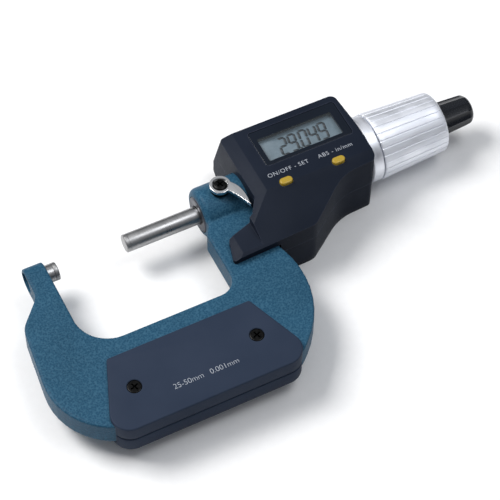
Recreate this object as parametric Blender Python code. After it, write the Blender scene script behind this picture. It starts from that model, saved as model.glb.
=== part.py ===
"""Digital outside micrometer, 25-50 mm, built as separate pieces.

Row frame: the origin is the middle of the anvil's measuring face, +X runs along the spindle towards
the thimble, +Z is the display side and +Y points out of the bow's open side. All names below are in
millimetres and become metres through MM. The spindle stands at its closed stop, 25 mm from the anvil.
"""

import math

import bmesh
import bpy
from mathutils import Matrix, Vector

MM = 0.001

# ---------------------------------------------------------------- driving dimensions (mm)
GAP = 0.3                      # clearance between neighbouring pieces
FLAT_GAP = 0.05                # between flat faces that are brazed or glued
RANGE_MIN = 25.0               # opening at the closed stop
SPINDLE_R = 3.25               # 6.5 mm spindle and anvil
TIP_LENGTH = 1.5               # carbide tips

FRAME_HALF = 4.8               # half the casting's thickness
ARM_END_R = 4.7                # rounded end that holds the anvil
THROAT_LEFT, THROAT_RIGHT, THROAT_BOTTOM = -4.0, 50.8, -36.4
ARM_RIGHT, BOW_BOTTOM = 71.6, -69.5
BOSS_LEFT, BOSS_RIGHT, BOSS_R = 53.2, 76.5, 9.2
BUSH_BORE_R, BUSH_R = 6.95, 6.65
YOKE_LEFT, YOKE_RIGHT, YOKE_R, YOKE_BORE_R = 84.0, 91.0, 8.6, 6.2
YOKE_TOP, YOKE_BOTTOM = -12.4, -17.5

GRIP_FACE = 6.44               # height of the grip plates' outer faces
GRIP_TOP, GRIP_BOTTOM = -43.4, -71.75
GRIP_TOP_X, GRIP_BOTTOM_X = (-0.9, 51.3), (-12.0, 62.4)
GRIP_SCREWS = ((3.0, -57.0), (47.5, -56.8))
GRIP_SCREW_R = 2.4

HEAD_LEFT, HEAD_RIGHT, HEAD_TOP = 69.9, 115.3, 23.0
HEAD_FRONT, HEAD_BACK = 15.0, -13.0
HEAD_MIDDLE = (HEAD_LEFT + HEAD_RIGHT) / 2
HEAD_WALL, HEAD_FACE_WALL = 2.0, 1.8
HEAD_CREASE_Y, HEAD_CREASE_SLOPE = -10.8, 0.45
HEAD_TOP_SLOPE_Y, HEAD_TOP_SLOPE = 16.5, 0.324
FOOT_HEIGHT = 8.0
HEAD_SCREWS = ((76.5, 17.4), (109.5, 17.4), (78.0, -23.2), (110.5, -10.8))

LENS_X, LENS_Y = (78.7, 113.2), (-2.0, 14.1)
WINDOW_X, WINDOW_Y = (80.7, 110.0), (-0.4, 10.5)
BUTTONS = (("button_on_off_set", 82.0), ("button_abs_unit", 102.4))
BUTTON_Y, BUTTON_LENGTH, BUTTON_WIDTH, BUTTON_TOP = -10.3, 4.8, 2.7, 15.8

SLEEVE_R, SLEEVE_BORE_R, SLEEVE_END = 8.3, 6.5, 143.9
TUBE_LEFT, TUBE_RIGHT, TUBE_R, TUBE_BORE_R = 116.4, 146.6, 9.5, 8.6
COLLAR_RIGHT, COLLAR_R = 121.0, 12.2
FLUTE_LEFT_R, FLUTE_RIGHT_R, FLUTE_COUNT, FLUTE_DEPTH = 12.4, 11.2, 28, 0.45
THIMBLE_RIGHT = 148.3
CAP_LEFT, CAP_RIGHT, CAP_R, CAP_END_R = 148.7, 162.4, 6.3, 5.6
CAP_FACETS, CAP_FACET_DEPTH = 12, 0.28

LOCK_X, LOCK_TOP = 61.8, 12.7
LEVER_R, LEVER_SCREW_R = 3.75, 2.5
BATTERY_X, BATTERY_Y, BATTERY_R = 100.0, 13.9, 5.8
COVER_R = 6.7

ROUND = 44                     # sides of the large turned pieces
SMALL_ROUND = 16               # sides of the small ones

# ---------------------------------------------------------------- colours
BLUE_ENAMEL = ("blue_enamel", (0.045, 0.125, 0.18), 0.38, 0.3)
BLACK_ABS = ("black_abs", (0.022, 0.026, 0.036), 0.5, 0.0)
GRIP_PLASTIC = ("grip_plastic", (0.03, 0.036, 0.055), 0.45, 0.0)
STEEL = ("polished_steel", (0.62, 0.62, 0.63), 0.2, 1.0)
CARBIDE = ("carbide", (0.33, 0.33, 0.35), 0.25, 1.0)
SATIN_ALUMINIUM = ("satin_aluminium", (0.72, 0.72, 0.76), 0.35, 1.0)
CHROME = ("chrome", (0.8, 0.8, 0.82), 0.1, 1.0)
BLACK_STEEL = ("black_steel", (0.02, 0.02, 0.022), 0.4, 0.8)
BRASS = ("brass", (0.72, 0.5, 0.18), 0.3, 1.0)
YELLOW = ("yellow_plastic", (0.72, 0.42, 0.04), 0.4, 0.0)
DISPLAY = ("display", (0.32, 0.4, 0.39), 0.3, 0.0)
GLASS = ("lens", (0.02, 0.024, 0.03), 0.08, 0.0)
BOARD = ("board", (0.02, 0.18, 0.07), 0.5, 0.0)
RUBBER = ("rubber", (0.03, 0.03, 0.03), 0.85, 0.0)


def material(look):
    """The Principled material of a look, made once."""
    name, colour, roughness, metallic = look
    found = bpy.data.materials.get(name)
    if found:
        return found
    made = bpy.data.materials.new(name)
    made.use_nodes = True
    shader = made.node_tree.nodes["Principled BSDF"]
    shader.inputs["Base Color"].default_value = (*colour, 1.0)
    shader.inputs["Roughness"].default_value = roughness
    shader.inputs["Metallic"].default_value = metallic
    return made


# ---------------------------------------------------------------- outlines
def signed_area(points):
    pairs = zip(points, points[1:] + points[:1])
    return sum(a[0] * b[1] - b[0] * a[1] for a, b in pairs) / 2


def offset_corners(corners, distance):
    """The outline of (x, y, radius) corners moved outwards by a distance, or inwards if negative."""
    turn = 1.0 if signed_area([c[:2] for c in corners]) > 0 else -1.0
    moved = []
    for before, here, after in zip(corners[-1:] + corners[:-1], corners, corners[1:] + corners[:1]):
        into = (Vector(here[:2]) - Vector(before[:2])).normalized()
        out = (Vector(after[:2]) - Vector(here[:2])).normalized()
        normal_in = Vector((into.y, -into.x)) * turn
        normal_out = Vector((out.y, -out.x)) * turn
        shift = (normal_in + normal_out) * (distance / (1.0 + normal_in.dot(normal_out)))
        bulges = turn * (into.x * out.y - into.y * out.x) > 0
        radius = here[2] + (distance if bulges else -distance) if here[2] else 0.0
        moved.append((here[0] + shift.x, here[1] + shift.y, max(radius, 0.0)))
    return moved


def rounded(corners, step=math.radians(15)):
    """The points of an outline of (x, y, radius) corners, each corner an arc of its radius."""
    points = []
    for before, here, after in zip(corners[-1:] + corners[:-1], corners, corners[1:] + corners[:1]):
        corner = Vector(here[:2])
        if here[2] <= 0:
            points.append(tuple(corner))
            continue
        to_before = (Vector(before[:2]) - corner).normalized()
        to_after = (Vector(after[:2]) - corner).normalized()
        opening = to_before.angle(to_after)
        reach = here[2] / math.tan(opening / 2)
        middle = corner + (to_before + to_after).normalized() * (here[2] / math.sin(opening / 2))
        start = corner + to_before * reach - middle
        sweep = (math.pi - opening) * (1 if to_before.cross(to_after) < 0 else -1)
        count = max(2, math.ceil(abs(sweep) / step))
        for i in range(count + 1):
            spoke = Matrix.Rotation(sweep * i / count, 2) @ start
            points.append(tuple(middle + spoke))
    return points


def circle(x, y, radius, sides=SMALL_ROUND):
    return [
        (x + radius * math.cos(2 * math.pi * i / sides), y + radius * math.sin(2 * math.pi * i / sides))
        for i in range(sides)
    ]


def pill(x, y, length, width):
    reach, half = length / 2, width / 2
    return rounded([
        (x - reach, y - half, half * 0.98), (x + reach, y - half, half * 0.98),
        (x + reach, y + half, half * 0.98), (x - reach, y + half, half * 0.98),
    ], math.radians(30))


# ---------------------------------------------------------------- solids
def add_object(name, mesh_data, look=None, sharp=35):
    bmesh.ops.recalc_face_normals(mesh_data, faces=mesh_data.faces)
    mesh = bpy.data.meshes.new(name)
    mesh_data.to_mesh(mesh)
    mesh_data.free()
    obj = bpy.data.objects.new(name, mesh)
    bpy.context.scene.collection.objects.link(obj)
    if look:
        mesh.materials.append(material(look))
        mesh.shade_smooth()
        mesh.set_sharp_from_angle(angle=math.radians(sharp))
    else:
        obj.hide_render = True
        obj.display_type = "WIRE"
    return obj


def prism(name, points, low, high, look=None, origin=(0.0, 0.0, 0.0)):
    """An XY outline (mm) extruded from one height to another, with its origin at a point (mm)."""
    data = bmesh.new()
    ox, oy, oz = origin
    base = [data.verts.new(((x - ox) * MM, (y - oy) * MM, (low - oz) * MM)) for x, y in points]
    face = data.faces.new(base)
    top = bmesh.ops.extrude_face_region(data, geom=[face])["geom"]
    for vert in (v for v in top if isinstance(v, bmesh.types.BMVert)):
        vert.co.z = (high - oz) * MM
    obj = add_object(name, data, look)
    obj.location = Vector(origin) * MM
    return obj


def box(name, x, y, z, look=None):
    return prism(name, [(x[0], y[0]), (x[1], y[0]), (x[1], y[1]), (x[0], y[1])], z[0], z[1], look)


def turned(name, profile, look=None, sides=ROUND, centre=None, radius_at=None):
    """A closed (axial, radius) profile in mm turned about X, or about the Z line through centre.

    Cutters start a third of a side further round, so that their edges cross those of the pieces.
    """
    data = bmesh.new()
    rings = []
    first = 0.0 if look else 1 / 3
    for along, radius in profile:
        if radius == 0:
            rings.append([data.verts.new((along * MM, 0.0, 0.0))] * sides)
            continue
        ring = []
        for i in range(sides):
            angle = 2 * math.pi * (i + first) / sides
            reach = (radius_at(radius, angle) if radius_at else radius) * MM
            ring.append(data.verts.new((along * MM, reach * math.cos(angle), reach * math.sin(angle))))
        rings.append(ring)
    closed = profile[0][1] != 0
    pairs = zip(rings, rings[1:] + rings[:1]) if closed else zip(rings, rings[1:])
    for a, b in pairs:
        for i in range(sides):
            j = (i + 1) % sides
            corners = list(dict.fromkeys((a[i], a[j], b[j], b[i])))
            if len(corners) > 2:
                data.faces.new(corners)
    if centre:
        bmesh.ops.rotate(data, verts=data.verts, matrix=Matrix.Rotation(-math.pi / 2, 3, "Y"))
    obj = add_object(name, data, look)
    if centre:
        obj.location = Vector((centre[0], centre[1], 0.0)) * MM
    return obj


def rod(left, right, radius):
    """Profile of a plain round bar."""
    return [(left, 0), (left, radius), (right, radius), (right, 0)]


def ring(left, right, inner, outer):
    """Profile of a plain tube."""
    return [(left, inner), (left, outer), (right, outer), (right, inner)]


def combine(target, tool, operation="DIFFERENCE"):
    step = target.modifiers.new(f"{operation.lower()}_{tool.name}", "BOOLEAN")
    step.operation = operation
    step.solver = "EXACT"
    step.object = tool
    return target


def tilted_block(name, point, normal, size=120.0):
    """A cutter that fills the space on the outer side of a plane."""
    data = bmesh.new()
    bmesh.ops.create_cube(data, size=size * MM)
    bmesh.ops.translate(data, verts=data.verts, vec=(0, 0, size / 2 * MM))
    obj = add_object(name, data)
    obj.rotation_mode = "QUATERNION"
    obj.rotation_quaternion = Vector(normal).to_track_quat("Z", "Y")
    obj.location = Vector(point) * MM
    return obj


# ---------------------------------------------------------------- frame
def frame_corners():
    """The casting's outline in the XY plane, from the anvil's arm round the throat to the head."""
    return [
        (THROAT_LEFT, 0.0, 0.0),
        (THROAT_LEFT, THROAT_BOTTOM, 12.5),
        (THROAT_RIGHT, THROAT_BOTTOM, 6.5),
        (THROAT_RIGHT, -12.2, 1.2),
        (BOSS_LEFT, -8.6, 0.6),
        (BOSS_LEFT, 0.0, 0.0),
        (BOSS_RIGHT, 0.0, 0.0),
        (BOSS_RIGHT, YOKE_TOP, 0.0),
        (YOKE_LEFT, YOKE_TOP, 0.0),
        (YOKE_LEFT, 0.0, 0.0),
        (YOKE_RIGHT, 0.0, 0.0),
        (YOKE_RIGHT, YOKE_BOTTOM, 2.0),
        (68.0, YOKE_BOTTOM, 1.5),
        (78.6, -50.4, 34.3),
        (57.7, BOW_BOTTOM, 9.0),
        (-26.2, BOW_BOTTOM, 24.9),
        (-20.4, -19.6, 8.0),
        (-11.5, -9.6, 7.0),
        (-11.5, 0.0, 0.0),
    ]


def make_frame():
    frame = prism("frame", rounded(frame_corners()), -FRAME_HALF, FRAME_HALF, BLUE_ENAMEL)
    unions = (
        turned("cutter_arm_end", rod(-11.45, THROAT_LEFT - 0.05, ARM_END_R), sides=ROUND),
        turned("cutter_boss", [
            (BOSS_LEFT - 0.2, 0), (BOSS_LEFT - 0.2, BOSS_R - 1.8), (BOSS_LEFT + 0.4, BOSS_R - 0.6),
            (BOSS_LEFT + 1.6, BOSS_R), (BOSS_RIGHT + 0.1, BOSS_R), (BOSS_RIGHT + 0.1, 0),
        ]),
        turned("cutter_yoke", rod(YOKE_LEFT - 0.1, YOKE_RIGHT + 0.1, YOKE_R)),
    )
    for tool in unions:
        combine(frame, tool, "UNION")
    holes = [
        turned("cutter_anvil_bore", rod(-10.0, 1.0, SPINDLE_R + GAP), sides=24),
        turned("cutter_anvil_rear", rod(-15.0, -9.0, ARM_END_R - 1.0), sides=24),
        turned("cutter_bush_bore", rod(50.0, 80.0, BUSH_BORE_R), sides=36),
        turned("cutter_yoke_bore", rod(82.0, 93.0, YOKE_BORE_R), sides=28),
        prism("cutter_lock_hole", circle(LOCK_X, 0.0, 1.9), 3.0, 14.0),
    ]
    for i, (x, y) in enumerate(GRIP_SCREWS):
        holes.append(prism(f"cutter_grip_hole_{i}", circle(x, y, 1.4), -9.0, 9.0))
    for tool in holes:
        combine(frame, tool)


def make_anvil():
    turned("anvil", rod(-8.7, -TIP_LENGTH - FLAT_GAP, SPINDLE_R), STEEL, sides=32)
    turned("anvil_tip", [
        (-TIP_LENGTH, 0), (-TIP_LENGTH, SPINDLE_R), (-0.3, SPINDLE_R), (0.0, SPINDLE_R - 0.25), (0.0, 0),
    ], CARBIDE, sides=32)


def make_bush():
    bush = turned("spindle_bush", [
        (BOSS_LEFT - 0.3, SPINDLE_R + GAP), (BOSS_LEFT - 0.3, BUSH_R - 0.3), (BOSS_LEFT, BUSH_R),
        (BOSS_RIGHT - 0.5, BUSH_R), (BOSS_RIGHT - 0.5, SPINDLE_R + GAP),
    ], STEEL, sides=32)
    combine(bush, prism("cutter_shoe_hole", circle(LOCK_X, 0.0, 1.85), 2.0, 14.0))


# ---------------------------------------------------------------- grips
def grip_corners():
    return [
        (GRIP_TOP_X[0], GRIP_TOP, 1.2), (GRIP_BOTTOM_X[0], GRIP_BOTTOM, 6.5),
        (GRIP_BOTTOM_X[1], GRIP_BOTTOM, 6.5), (GRIP_TOP_X[1], GRIP_TOP, 1.2),
    ]


def countersink(name, x, y, side):
    """Cutter for a countersunk screw's seat in a grip plate; side is 1 in front and -1 behind."""
    seat = [(3.0, 0), (3.0, 1.5), (5.2, 1.5), (GRIP_FACE + 0.3, GRIP_SCREW_R + 0.55), (9.0, 3.0), (9.0, 0)]
    return turned(name, [(side * z, r) for z, r in seat], sides=32, centre=(x, y))


def make_grips():
    casting = offset_corners(frame_corners(), GAP)
    for name, side in (("front_grip", 1), ("rear_grip", -1)):
        low, high = sorted((side * 0.15, side * GRIP_FACE))
        grip = prism(name, rounded(grip_corners()), low, high, GRIP_PLASTIC)
        low, high = sorted((side * -2.0, side * (FRAME_HALF + GAP)))
        combine(grip, prism(f"cutter_{name}_pocket", rounded(casting), low, high))
        for i, (x, y) in enumerate(GRIP_SCREWS):
            combine(grip, countersink(f"cutter_{name}_seat_{i}", x, y, side))
            end = "left" if i == 0 else "right"
            profile = [
                (0.5, 0), (0.5, 1.1), (5.3, 1.1), (GRIP_FACE - 0.3, GRIP_SCREW_R),
                (GRIP_FACE - 0.05, GRIP_SCREW_R), (GRIP_FACE - 0.05, 0),
            ]
            turned(f"{name}_screw_{end}", [(side * z, r) for z, r in profile], BLACK_STEEL,
                   sides=SMALL_ROUND, centre=(x, y))


# ---------------------------------------------------------------- lock
def lever_points():
    """Comma outline about the lock's axis: a ring whose tail sweeps down and narrows to a tip."""
    tip, shoulder = Vector((5.7, -12.2)), Vector((6.3, -4.2))
    points = []
    start, end = math.radians(-8), math.radians(292)
    for i in range(23):
        angle = start + (end - start) * i / 22
        points.append((LEVER_R * math.cos(angle), LEVER_R * math.sin(angle)))
    outer_start = Vector(points[0])
    inner_start = Vector(points[-1])
    inner_middle = Vector((3.6, -5.4))
    inner = [bezier(inner_start, inner_middle, tip, i / 5) for i in range(1, 6)]
    outer = [bezier(tip, shoulder, outer_start, i / 7) for i in range(1, 7)]
    return points + [tuple(p) for p in inner] + [(tip.x + 0.35, tip.y + 0.05)] + [tuple(p) for p in outer]


def bezier(start, middle, end, t):
    return start * (1 - t) ** 2 + middle * (2 * t * (1 - t)) + end * t ** 2


def make_lock():
    centre = (LOCK_X, 0.0)
    bottom = LOCK_TOP - 1.5
    outline = [(x + LOCK_X, y) for x, y in lever_points()]
    lever = prism("lock_lever", outline, bottom, LOCK_TOP, CHROME, origin=(LOCK_X, 0.0, 0.0))
    seat = [(bottom - 1, 0), (bottom - 1, 1.5), (bottom + 0.5, 1.5), (bottom + 0.5, LEVER_SCREW_R + GAP),
            (LOCK_TOP + 1, LEVER_SCREW_R + GAP), (LOCK_TOP + 1, 0)]
    combine(lever, turned("cutter_lever_seat", seat, sides=24, centre=centre))
    turned("lock_screw", [
        (7.0, 0), (7.0, 1.1), (bottom + 0.8, 1.1), (bottom + 0.8, LEVER_SCREW_R),
        (LOCK_TOP - 0.1, LEVER_SCREW_R), (LOCK_TOP + 0.25, LEVER_SCREW_R - 0.7), (LOCK_TOP + 0.25, 0),
    ], BLACK_STEEL, sides=24, centre=centre)
    stem = turned("lock_stem", [
        (5.6, 0), (5.6, 1.6), (BOSS_R + 0.3, 1.6), (BOSS_R + 0.3, 3.4), (bottom - 0.1, 3.4), (bottom - 0.1, 0),
    ], BLACK_STEEL, sides=24, centre=centre)
    combine(stem, prism("cutter_stem_bore", circle(*centre, 1.3), 6.7, 14.0))
    turned("clamp_shoe", rod(SPINDLE_R + 0.25, 5.3, 1.55), BRASS, sides=SMALL_ROUND, centre=centre)


# ---------------------------------------------------------------- display head
def head_corners():
    """The head's outline seen from the display side, with the foot that sits on the frame."""
    return [
        (HEAD_LEFT, HEAD_TOP, 1.2),
        (HEAD_LEFT, -10.4, 0.8),
        (66.4, -15.6, 0.8),
        (55.9, -19.0, 1.0),
        (53.5, -27.7, 1.0),
        (85.5, -26.6, 5.0),
        (101.5, -15.1, 18.0),
        (HEAD_RIGHT, -14.4, 2.2),
        (HEAD_RIGHT + 0.3, 2.0, 30.0),
        (HEAD_RIGHT - 1.2, HEAD_TOP, 2.5),
    ]


def head_block(name, wall, face_wall, look=None, low=None, high=None):
    """The head's whole volume, set in by a wall on its sides and a wall on its faces."""
    outline = rounded(offset_corners(head_corners(), -wall))
    low = HEAD_BACK + face_wall if low is None else low
    high = HEAD_FRONT - face_wall if high is None else high
    block = prism(name, outline, low, high, look)
    crease = (HEAD_MIDDLE, HEAD_CREASE_Y, HEAD_FRONT - face_wall * math.hypot(1.0, HEAD_CREASE_SLOPE))
    top = (HEAD_MIDDLE, HEAD_TOP_SLOPE_Y - wall * math.hypot(1.0, HEAD_TOP_SLOPE), HEAD_FRONT)
    chamfer = (74.3 + wall * 0.4, 0.0, HEAD_FRONT - face_wall)
    combine(block, tilted_block(f"cutter_{name}_crease", crease, (0.0, -HEAD_CREASE_SLOPE, 1.0)))
    combine(block, tilted_block(f"cutter_{name}_top", top, (0.0, 1.0, HEAD_TOP_SLOPE)))
    combine(block, tilted_block(f"cutter_{name}_chamfer", chamfer, (-0.42, 0.0, 1.0)))
    foot = [(40.0, -40.0), (65.2 + wall, -40.0), (65.2 + wall, -16.0 - wall), (60.0, -8.0), (40.0, -8.0)]
    combine(block, prism(f"cutter_{name}_foot", foot, FOOT_HEIGHT - face_wall, 30.0))
    return block


def make_head():
    cavity = head_block("cutter_cavity", HEAD_WALL, HEAD_FACE_WALL)
    arm = box("cutter_arm_slot", (40.0, ARM_RIGHT + GAP), (-50.0, 0.5), (-FRAME_HALF - GAP, FRAME_HALF + GAP))
    boss = turned("cutter_boss_hole", rod(50.0, 78.0, BOSS_R + GAP))
    barrel = turned("cutter_barrel_hole", rod(108.0, 125.0, SLEEVE_R + GAP))

    front = head_block("housing_front", 0.0, 0.0, BLACK_ABS, low=0.15)
    rear = head_block("housing_rear", 0.0, 0.0, BLACK_ABS, high=-0.15)
    rear_edge = (HEAD_MIDDLE, HEAD_TOP, HEAD_BACK + 3.0)
    combine(rear, tilted_block("cutter_rear_edge", rear_edge, (0.0, 1.0, -1.0)))
    for shell in (front, rear):
        combine(shell, cavity)

    for i, (x, y) in enumerate(HEAD_SCREWS):
        combine(front, prism(f"cutter_pillar_{i}", circle(x, y, 2.2), 0.16, 4.0), "UNION")
        combine(rear, prism(f"cutter_column_{i}", circle(x, y, 2.9), HEAD_BACK + 0.4, -0.45), "UNION")
    for shell in (front, rear):
        for tool in (arm, boss, barrel):
            combine(shell, tool)
    for i, (x, y) in enumerate(HEAD_SCREWS):
        combine(front, prism(f"cutter_thread_{i}", circle(x, y, 1.15, 16), -1.0, 3.5))
        combine(rear, prism(f"cutter_clearance_{i}", circle(x, y, 1.15, 16), -9.0, 1.0))
        combine(rear, prism(f"cutter_counterbore_{i}", circle(x, y, 2.15), -20.0, -4.0))
        turned(f"housing_screw_{i + 1}", [
            (-5.6, 0), (-5.6, 1.85), (-4.3, 1.85), (-4.3, 0.85), (3.2, 0.85), (3.2, 0),
        ], BLACK_STEEL, sides=12, centre=(x, y))

    pocket = rounded([(LENS_X[0], LENS_Y[0], 1.2), (LENS_X[1], LENS_Y[0], 1.2),
                      (LENS_X[1], LENS_Y[1], 1.2), (LENS_X[0], LENS_Y[1], 1.2)], math.radians(30))
    combine(front, prism("cutter_lens_pocket", pocket, HEAD_FRONT - 1.0, 20.0))
    combine(front, box("cutter_window", WINDOW_X, WINDOW_Y, (10.0, 20.0)))
    for name, x in BUTTONS:
        hole = pill(x, BUTTON_Y, BUTTON_LENGTH + 2 * GAP, BUTTON_WIDTH + 2 * GAP)
        combine(front, prism(f"cutter_{name}", hole, 10.0, 20.0))

    combine(rear, prism("cutter_battery_well", circle(BATTERY_X, BATTERY_Y, COVER_R + GAP, 32), -20.0, -4.9))


def make_display():
    lens = [(LENS_X[0] + GAP, LENS_Y[0] + GAP, 1.0), (LENS_X[1] - GAP, LENS_Y[0] + GAP, 1.0),
            (LENS_X[1] - GAP, LENS_Y[1] - GAP, 1.0), (LENS_X[0] + GAP, LENS_Y[1] - GAP, 1.0)]
    prism("display_lens", rounded(lens, math.radians(30)), HEAD_FRONT - 0.95, HEAD_FRONT - 0.05, GLASS)
    box("lcd_panel", (79.6, 111.2), (-1.3, 11.6), (11.2, 12.9), DISPLAY)
    box("circuit_board", (77.3, 112.4), (-12.4, 13.4), (9.5, 10.5), BOARD)
    box("button_pad", (77.8, 107.0), (-12.3, -7.0), (10.6, 10.85), RUBBER)
    for name, x in BUTTONS:
        origin = (x, BUTTON_Y, BUTTON_TOP)
        button = prism(name, pill(x, BUTTON_Y, BUTTON_LENGTH, BUTTON_WIDTH), 11.5, BUTTON_TOP, YELLOW, origin)
        flange = prism(f"cutter_{name}_flange", pill(x, BUTTON_Y, 6.4, 3.9), 11.3, 11.72)
        combine(button, flange, "UNION")


def make_battery():
    centre = (BATTERY_X, BATTERY_Y)
    turned("battery", [
        (-10.9, 0), (-10.9, 5.0), (-10.6, BATTERY_R - 0.3), (-5.9, BATTERY_R - 0.3), (-5.6, BATTERY_R - 0.6),
        (-5.6, 0),
    ], STEEL, sides=24, centre=centre)
    box("battery_contact", (BATTERY_X - 1.2, BATTERY_X + 1.2), (BATTERY_Y - 4.5, BATTERY_Y + 4.5),
        (-4.6, -4.2), BRASS)
    turned("battery_seal", ring(-11.5, -11.05, 5.7, COVER_R - 0.2), RUBBER, sides=24, centre=centre)
    cover = turned("battery_cover", [
        (HEAD_BACK + 0.05, 0), (HEAD_BACK + 0.05, COVER_R - 0.3), (HEAD_BACK + 0.35, COVER_R),
        (-11.7, COVER_R), (-11.7, 5.2), (-11.2, 5.2), (-11.2, 0),
    ], BLACK_ABS, sides=32, centre=centre)
    slot = rounded([(BATTERY_X - 4.6, BATTERY_Y - 0.8, 0.7), (BATTERY_X + 4.6, BATTERY_Y - 0.8, 0.7),
                    (BATTERY_X + 4.6, BATTERY_Y + 0.8, 0.7), (BATTERY_X - 4.6, BATTERY_Y + 0.8, 0.7)],
                   math.radians(30))
    combine(cover, prism("cutter_coin_slot", slot, -20.0, HEAD_BACK + 1.0))


# ---------------------------------------------------------------- measuring mechanism
def make_encoder():
    turned("stator_disc", ring(77.0, 78.2, SPINDLE_R + 0.6, 8.8), BOARD, sides=32)
    rotor = turned("rotor_disc", [
        (79.0, SPINDLE_R + GAP), (79.0, 8.8), (80.2, 8.8), (80.2, 6.0), (83.0, 6.0), (83.0, SPINDLE_R + GAP),
    ], BRASS, sides=32)
    combine(rotor, box("cutter_key_slot", (80.6, 84.0), (-0.75, 0.75), (0.0, 5.5)))
    box("rotor_key", (80.9, 82.8), (-0.45, 0.45), (2.75, 5.2), STEEL)


def make_spindle():
    tail, thread = 4.2, 3.9
    spindle = turned("spindle", [
        (RANGE_MIN + TIP_LENGTH + FLAT_GAP, 0), (RANGE_MIN + TIP_LENGTH + FLAT_GAP, SPINDLE_R),
        (86.9, SPINDLE_R), (87.3, thread), (130.0, thread), (130.4, 3.2), (137.4, 3.2), (138.0, tail),
        (146.4, tail), (146.4, 0),
    ], STEEL, sides=32)
    combine(spindle, box("cutter_keyway", (50.0, 86.5), (-0.75, 0.75), (2.4, 6.0)))
    combine(spindle, turned("cutter_spindle_bore", rod(137.0, 150.0, 1.8), sides=SMALL_ROUND))
    turned("spindle_tip", [
        (RANGE_MIN, 0), (RANGE_MIN, SPINDLE_R - 0.25), (RANGE_MIN + 0.3, SPINDLE_R),
        (RANGE_MIN + TIP_LENGTH, SPINDLE_R), (RANGE_MIN + TIP_LENGTH, 0),
    ], CARBIDE, sides=32)


def make_barrel():
    neck = YOKE_BORE_R - GAP
    turned("barrel_sleeve", [
        (84.4, 4.3), (84.4, neck), (YOKE_RIGHT + 0.4, neck), (YOKE_RIGHT + 0.4, SLEEVE_R),
        (SLEEVE_END, SLEEVE_R), (SLEEVE_END, SLEEVE_BORE_R), (93.5, SLEEVE_BORE_R), (93.5, 4.3),
    ], STEEL, sides=36)
    turned("spindle_nut", [
        (113.0, 4.2), (113.0, 6.2), (122.0, 6.2), (122.0, 5.2), (129.0, 5.2), (129.0, 4.2),
    ], BRASS, sides=24)
    turned("adjusting_nut", ring(122.4, 128.6, 5.5, 6.2), STEEL, sides=24)


def fluted(radius, angle):
    """Radius of the thimble grip at an angle: flat ribs parted by narrow grooves."""
    phase = (angle * FLUTE_COUNT / (2 * math.pi)) % 1.0
    return radius - (FLUTE_DEPTH if 0.7 < phase < 0.98 else 0.0) if radius > TUBE_R + 1.0 else radius


def make_thimble():
    turned("thimble_tube", [
        (TUBE_LEFT, TUBE_BORE_R), (TUBE_LEFT, TUBE_R), (TUBE_RIGHT, TUBE_R), (TUBE_RIGHT, 4.5),
        (SLEEVE_END + 0.4, 4.5), (SLEEVE_END + 0.4, TUBE_BORE_R),
    ], SATIN_ALUMINIUM, sides=36)
    inner = TUBE_R + GAP
    turned("thimble_collar", [
        (TUBE_LEFT, inner), (TUBE_LEFT, COLLAR_R - 0.4), (TUBE_LEFT + 0.5, COLLAR_R),
        (COLLAR_RIGHT - 0.3, COLLAR_R), (COLLAR_RIGHT, COLLAR_R - 0.4), (COLLAR_RIGHT, inner),
    ], SATIN_ALUMINIUM)
    left = COLLAR_RIGHT + GAP
    turned("thimble_grip", [
        (left, inner), (left, FLUTE_LEFT_R - 0.3), (left + 0.5, FLUTE_LEFT_R),
        (THIMBLE_RIGHT - 1.0, FLUTE_RIGHT_R), (THIMBLE_RIGHT, FLUTE_RIGHT_R - 0.9), (THIMBLE_RIGHT, 2.6),
        (TUBE_RIGHT + GAP, 2.6), (TUBE_RIGHT + GAP, inner),
    ], SATIN_ALUMINIUM, sides=FLUTE_COUNT * 4, radius_at=fluted)


def faceted(radius, angle):
    """Radius of the cap at an angle: shallow flutes between soft ridges."""
    if radius < CAP_END_R:
        return radius
    return radius - CAP_FACET_DEPTH * (0.5 - 0.5 * math.cos(angle * CAP_FACETS))


def ratchet_teeth(name, left, right, inner, outer, side):
    """A ring with 12 saw teeth on its left (-1) or right (1) face."""
    teeth, rise, per_tooth = 12, 0.5, 3
    data = bmesh.new()
    columns = []
    for i in range(teeth * per_tooth):
        phase = (i % per_tooth) / (per_tooth - 1)
        lift = rise * phase * side
        angle = 2 * math.pi * (i + (0.35 if i % per_tooth == 0 else 0.0)) / (teeth * per_tooth)
        crest, plain = (right + lift, left) if side > 0 else (left + lift, right)
        spots = ((plain, inner), (plain, outer), (crest, outer), (crest, inner))
        columns.append([
            data.verts.new((x * MM, r * MM * math.cos(angle), r * MM * math.sin(angle))) for x, r in spots
        ])
    for a, b in zip(columns, columns[1:] + columns[:1]):
        for i in range(4):
            j = (i + 1) % 4
            data.faces.new((a[i], a[j], b[j]))
            data.faces.new((a[i], b[j], b[i]))
    return add_object(name, data, BLACK_STEEL)


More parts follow.
